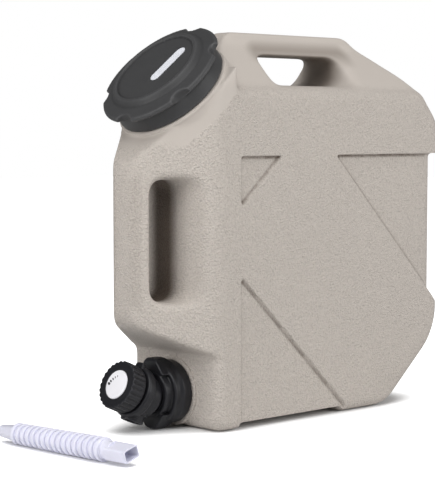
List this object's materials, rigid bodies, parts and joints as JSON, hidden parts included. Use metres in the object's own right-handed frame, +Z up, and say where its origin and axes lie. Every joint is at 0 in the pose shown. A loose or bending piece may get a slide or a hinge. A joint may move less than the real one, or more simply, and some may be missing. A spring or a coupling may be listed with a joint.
{
  "type": "camping water can with tap",
  "caption": "Rigid flat-sided water can with carry handle, front grip, tilted screw cap, knob-operated tap at the foot and a loose corrugated spout.",
  "frame": {"origin": "on the ground, under the middle of the tank's front foot", "axes": "+X along the tank from the tap end to the back, +Y across the tank, +Z up"},
  "size_m": [0.46, 0.1712, 0.3523],
  "materials": {
    "tank_plastic": "fine pebble grain, satin",
    "cap_plastic": "satin",
    "tap_plastic": "satin",
    "seal_rubber": "matt",
    "screw_steel": "plated",
    "dial_plastic": "gloss",
    "spout_plastic": "milky, slightly translucent"
  },
  "bodies": {
    "can": {"tank": "tank_plastic", "spout": "spout_plastic"},
    "cap_seal": {"cap_gasket": "seal_rubber"},
    "screw_cap": {"cap": "cap_plastic"},
    "tap": {"tap_body": "tap_plastic", "tap_gasket": "seal_rubber", "plug_retainer": "tap_plastic"},
    "collar": {"tap_collar": "tap_plastic"},
    "knob": {"tap_knob": "tap_plastic", "valve_plug": "tap_plastic", "plug_oring_front": "seal_rubber", "plug_oring_rear": "seal_rubber", "knob_screw": "screw_steel", "dial_disc": "dial_plastic"}
  },
  "joints": [
    {"name": "cap_lift", "type": "slide", "parent": "can", "child": "cap_seal", "axis": [-0.7071, 0, 0.7071], "range_m": [0, 0.06]},
    {"name": "cap_turn", "type": "hinge", "parent": "cap_seal", "child": "screw_cap", "pos_m": [-0.0173, 0, 0.2976], "axis": [-0.7071, 0, 0.7071], "range_deg": [0, 360]},
    {"name": "tap_pull", "type": "slide", "parent": "can", "child": "tap", "axis": [-1, 0, 0], "range_m": [0, 0.05]},
    {"name": "collar_turn", "type": "hinge", "parent": "tap", "child": "collar", "pos_m": [-0.015, 0, 0.032], "axis": [-1, 0, 0], "range_deg": [0, 360]},
    {"name": "knob_turn", "type": "hinge", "parent": "tap", "child": "knob", "pos_m": [-0.054, 0, 0.032], "axis": [-0.91, 0, 0.4147], "range_deg": [0, 90]}
  ]
}
